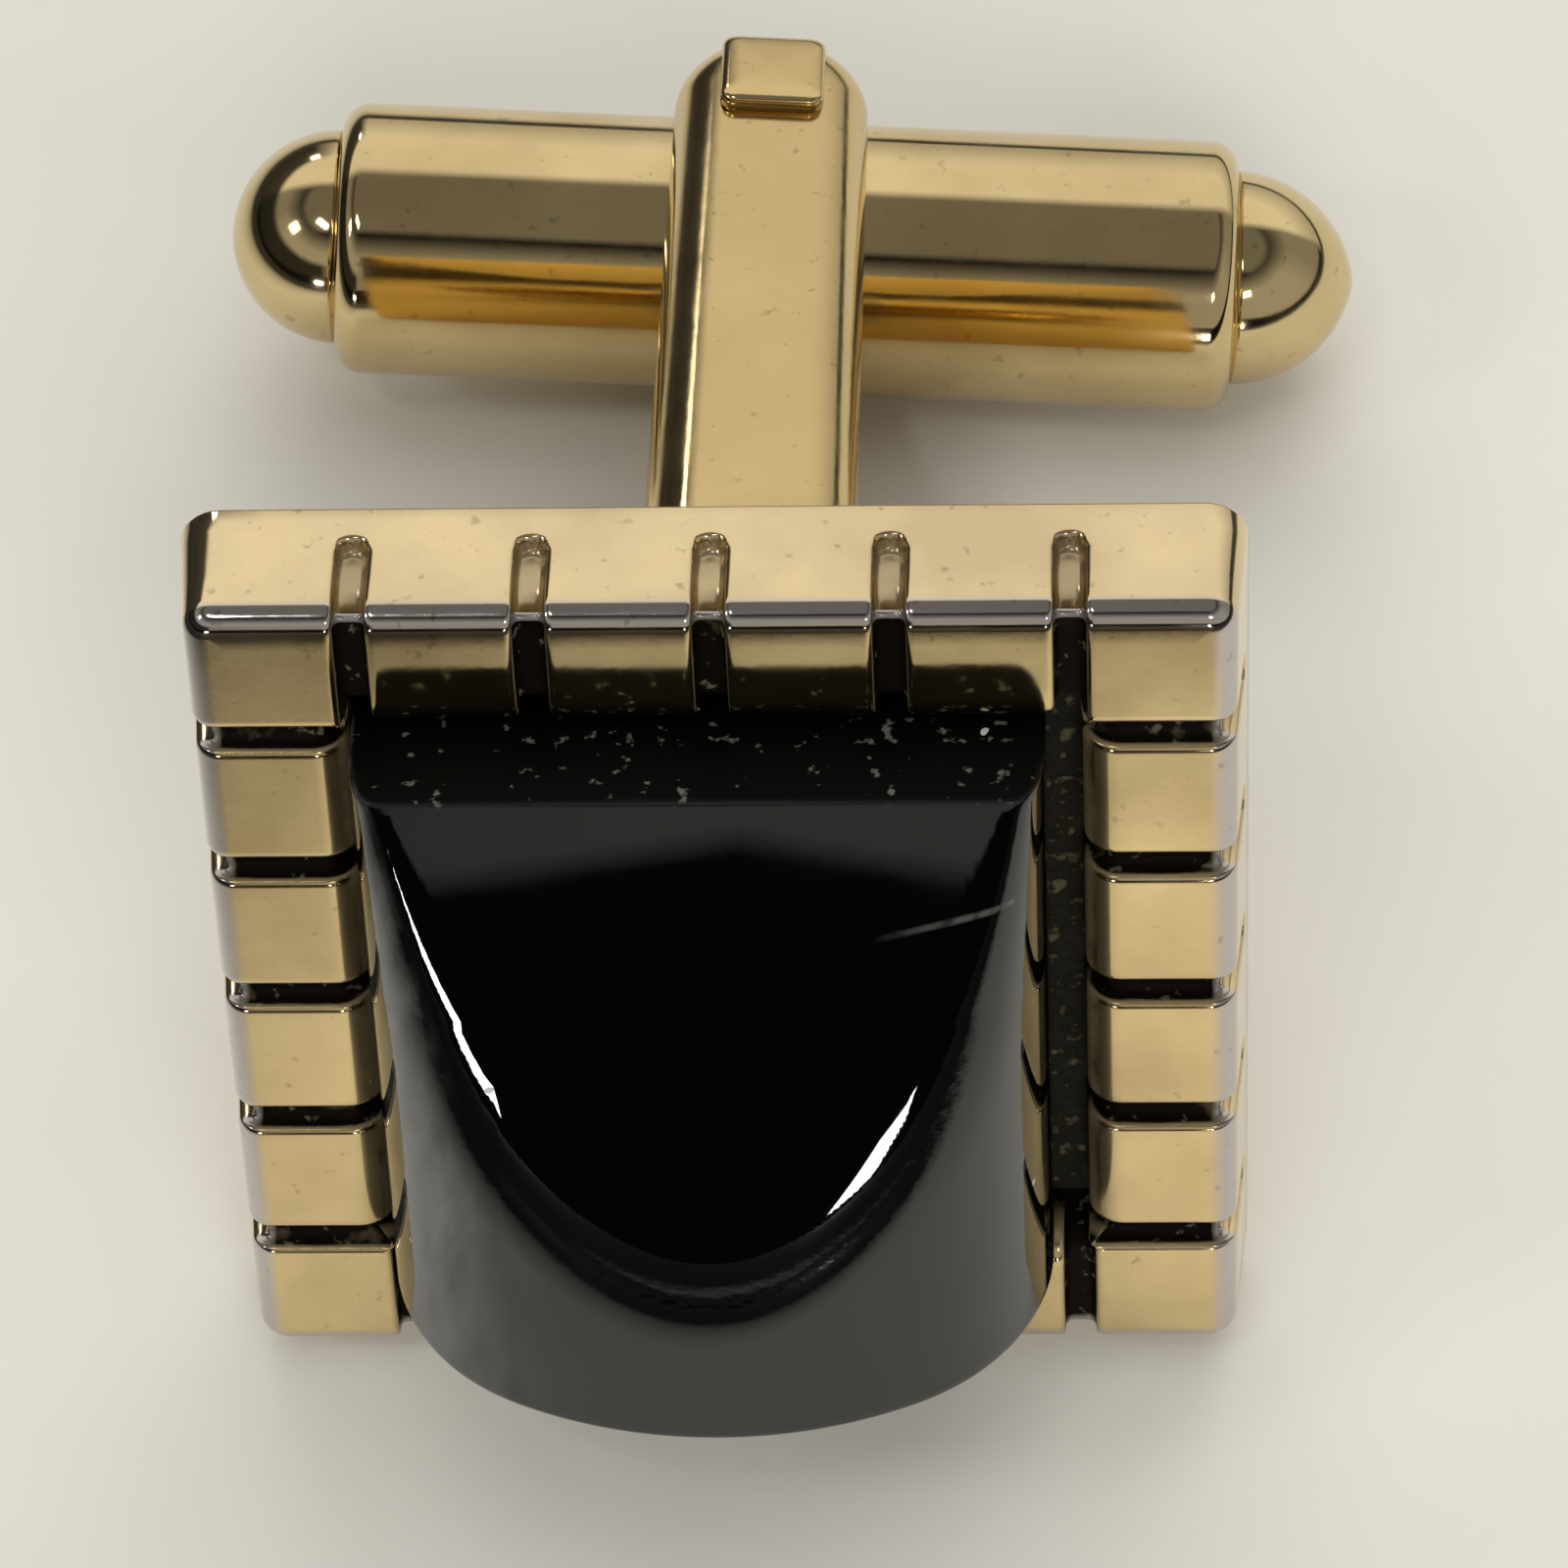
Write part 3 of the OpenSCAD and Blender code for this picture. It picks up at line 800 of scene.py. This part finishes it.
def cap_mesh(node_name, towards):
    """Button with a domed end and a spigot. It points along the barrel, towards 1 or towards -1."""
    low, high = span(node_name, TOGGLE)
    barrel_low, barrel_high = span("toggle_barrel", TOGGLE)
    base = barrel_high.z if towards > 0 else barrel_low.z
    length = high.z - base if towards > 0 else base - low.z
    side_r = (CAP_R ** 2 + length ** 2) / (2 * CAP_R)
    tip = math.degrees(math.acos((side_r - CAP_R) / side_r))
    dome = arc(CAP_R - side_r, 0, side_r, 0, tip, 28)
    spigot = [(0, -SPIGOT_LEN), (SPIGOT_R, -SPIGOT_LEN), (SPIGOT_R, 0.0)]
    profile = spigot + dome[:-1] + [(0, length)]
    mesh = bmesh.new()
    revolve(mesh, [(max(0, r), base + towards * z) for r, z in profile], 96)
    sharpen(mesh, 50)
    return mesh


# The pieces, each in the place of its CAD node, and finishes for the nodes that stay

new_piece("grooved_frame", bezel_mesh(), BEZEL, frame_gold, "root", ["bezel_frame"])
new_piece("faceted_stone", stone_mesh(), BEZEL, stone_finish, "root", ["stone"])
new_piece("upper_stamped_arm", arm_mesh(), CLOSURE, satin_gold, "root", ["upper_arm"])
MIRRORED = CLOSURE @ Matrix.Diagonal((1, 1, -1, 1))
new_piece("lower_stamped_arm", arm_mesh(), MIRRORED, satin_gold, "root", ["lower_arm"])
new_piece("peened_pin", pin_mesh(), CLOSURE, satin_gold, "root", ["pivot_pin"])
rolled = new_piece("rolled_barrel", barrel_mesh(), TOGGLE, polished_gold, "toggle",
                   ["toggle_barrel"])
drill_pin_holes(rolled)
new_piece("left_button", cap_mesh("left_end_cap", -1), TOGGLE, polished_gold, "toggle",
          ["left_end_cap"])
new_piece("right_button", cap_mesh("right_end_cap", 1), TOGGLE, polished_gold, "toggle",
          ["right_end_cap"])

finishes = {"post_foot": satin_gold, "cement_bed": cement_finish, "detent_spring": spring_finish}
for name, material in finishes.items():
    for slot in frame["nodes"][name].material_slots:
        slot.material = material


# Floor, light and camera

def floor():
    """Plain pale floor under the cufflink. In reflections it goes dark away from the cufflink."""
    material, tree, shader, coords = surface("pale_floor")
    grain = noise(tree, coords, 260, 3)
    pale = mix(tree, grain, FLOOR_PALE, FLOOR_PALER)
    shifted = node(tree, "ShaderNodeMapping", Location=REFLECTED_SHIFT)
    tree.links.new(coords, shifted.inputs["Vector"])
    distance = node(tree, "ShaderNodeVectorMath", operation="LENGTH")
    tree.links.new(shifted.outputs["Vector"], distance.inputs[0])
    far = remap(tree, distance.outputs["Value"], REFLECTED_NEAR, REFLECTED_FAR)
    path = node(tree, "ShaderNodeLightPath")
    dim = maths(tree, "MULTIPLY", far, path.outputs["Is Glossy Ray"])
    tree.links.new(mix(tree, dim, pale, FLOOR_DARK), shader.inputs["Base Color"])
    tree.links.new(remap(tree, grain, 0.3, 0.7, 0.75, 0.85), shader.inputs["Roughness"])
    mesh = bmesh.new()
    corners = ((-1, -1), (1, -1), (1, 1), (-1, 1))
    mesh.faces.new([mesh.verts.new((x * FLOOR_HALF, y * FLOOR_HALF, 0)) for x, y in corners])
    data = finished("floor", mesh)
    data.materials.append(material)
    in_scene("floor", data)


def room():
    """Light of the room: bright behind, grey walls, a dim ceiling, and dark low down at the left.

    The foot of the walls slopes down to both sides, which gives the dark part of the stone's facet its
    peak. The camera itself sees a plain pale background.
    """
    world = bpy.data.worlds.new("room")
    bpy.context.scene.world = world
    world.use_nodes = True
    tree = world.node_tree
    tree.nodes.clear()
    coords = node(tree, "ShaderNodeTexCoord")
    parts = node(tree, "ShaderNodeSeparateXYZ")
    tree.links.new(coords.outputs["Generated"], parts.inputs["Vector"])
    across = parts.outputs["X"]
    back = parts.outputs["Y"]
    up = parts.outputs["Z"]
    aside = maths(tree, "ADD", across, WALL_FOOT_SHIFT, clamp=False)
    slope = maths(tree, "MULTIPLY", maths(tree, "ABSOLUTE", aside, 0.0), WALL_FOOT_SLOPE)
    low_wall = remap(tree, maths(tree, "ADD", up, slope), *WALL_FOOT)
    high_wall = remap(tree, up, *WALL_TOP, 1, 0)
    wall = maths(tree, "MULTIPLY", low_wall, high_wall)
    wall = maths(tree, "MULTIPLY", wall, remap(tree, back, *WALL_TURN, *WALL_LIGHT))
    window_level = remap(tree, up, *WINDOW_RISE, *WINDOW_LIGHT)
    window = maths(tree, "MULTIPLY", remap(tree, back, *WINDOW_SIDE), window_level)
    ceiling_level = remap(tree, back, *CEILING_TURN, *CEILING_LIGHT)
    ceiling = maths(tree, "MULTIPLY", remap(tree, up, *CEILING_EDGE), ceiling_level)
    level = maths(tree, "MAXIMUM", maths(tree, "MAXIMUM", wall, window), ceiling)
    low_down = remap(tree, up, *DARK_SIDE_TOP)
    dark_side = maths(tree, "MULTIPLY", remap(tree, across, *DARK_SIDE), low_down)
    level = maths(tree, "MULTIPLY", level, remap(tree, dark_side, 0, 1, 1, DARK_SIDE_KEEPS))
    glow = mix(tree, maths(tree, "ADD", level, ROOM_LEAST), (0.0, 0.0, 0.0), ROOM_TINT)
    light = node(tree, "ShaderNodeBackground", Strength=1.0)
    tree.links.new(glow, light.inputs["Color"])
    pale = node(tree, "ShaderNodeBackground", Color=BACKDROP, Strength=1.0)
    path = node(tree, "ShaderNodeLightPath")
    choose = node(tree, "ShaderNodeMixShader")
    tree.links.new(path.outputs["Is Camera Ray"], choose.inputs["Fac"])
    tree.links.new(light.outputs["Background"], choose.inputs[1])
    tree.links.new(pale.outputs["Background"], choose.inputs[2])
    output = node(tree, "ShaderNodeOutputWorld")
    tree.links.new(choose.outputs["Shader"], output.inputs["Surface"])


def softbox(name, towards, width, height, radiance, reflected=True):
    """Rectangular lamp that faces the cufflink. Its power follows from how bright it looks.

    A lamp that isn't reflected lights the cufflink and the floor, but no surface mirrors it.
    """
    data = bpy.data.lights.new(name, "AREA")
    data.shape = "RECTANGLE"
    data.size = width
    data.size_y = height
    data.energy = radiance * math.pi * width * height
    lamp = in_scene(name, data)
    lamp.location = Vector(towards).normalized() * LAMP_DISTANCE
    lamp.rotation_euler = (-Vector(towards)).to_track_quat("-Z", "Y").to_euler()
    lamp.visible_glossy = reflected
    lamp.visible_camera = False


def camera():
    """The photograph's camera: high in front, a little to the right, looking down."""
    place = Vector((6.721, -58.615, 119.110)) * MM
    forward = Vector((-0.04652, 0.49162, -0.86957)).normalized()
    right = Vector((0.99890, 0.01771, -0.04343))
    right = (right - forward * right.dot(forward)).normalized()
    up = right.cross(forward)
    data = bpy.data.cameras.new("camera")
    data.sensor_width = 36
    data.lens = 187.8
    data.clip_start = 0.005
    data.clip_end = 20
    turn = Matrix((right, up, -forward)).transposed().to_4x4()
    made = in_scene("camera", data)
    made.matrix_world = Matrix.Translation(place) @ turn
    bpy.context.scene.camera = made


floor()
room()
softbox("overhead_fill", (0.1, 0.1, 1.0), 0.40, 0.40, 1.3, reflected=False)
softbox("rear_fill", (0.1, 0.75, 0.65), 0.40, 0.30, 1.5, reflected=False)
softbox("front_fill", (0.1, -0.8, 0.6), 0.40, 0.30, 2.8, reflected=False)
softbox("ceiling_light", (-0.24, -0.28, 0.93), 0.12, 0.05, 9.0)
softbox("side_light", (-0.71, -0.21, 0.68), 0.08, 0.08, 9.0)
softbox("right_light", (0.25, -0.74, 0.62), 0.07, 0.05, 9.0)
softbox("low_left_light", (-0.33, -0.94, 0.085), 0.06, 0.022, 30.0)
softbox("low_right_light", (0.135, -0.98, 0.06), 0.03, 0.04, 30.0)
softbox("rear_light", (-0.30, 0.88, 0.36), 0.05, 0.05, 6.0)
camera()
bpy.context.scene.view_settings.view_transform = "Standard"
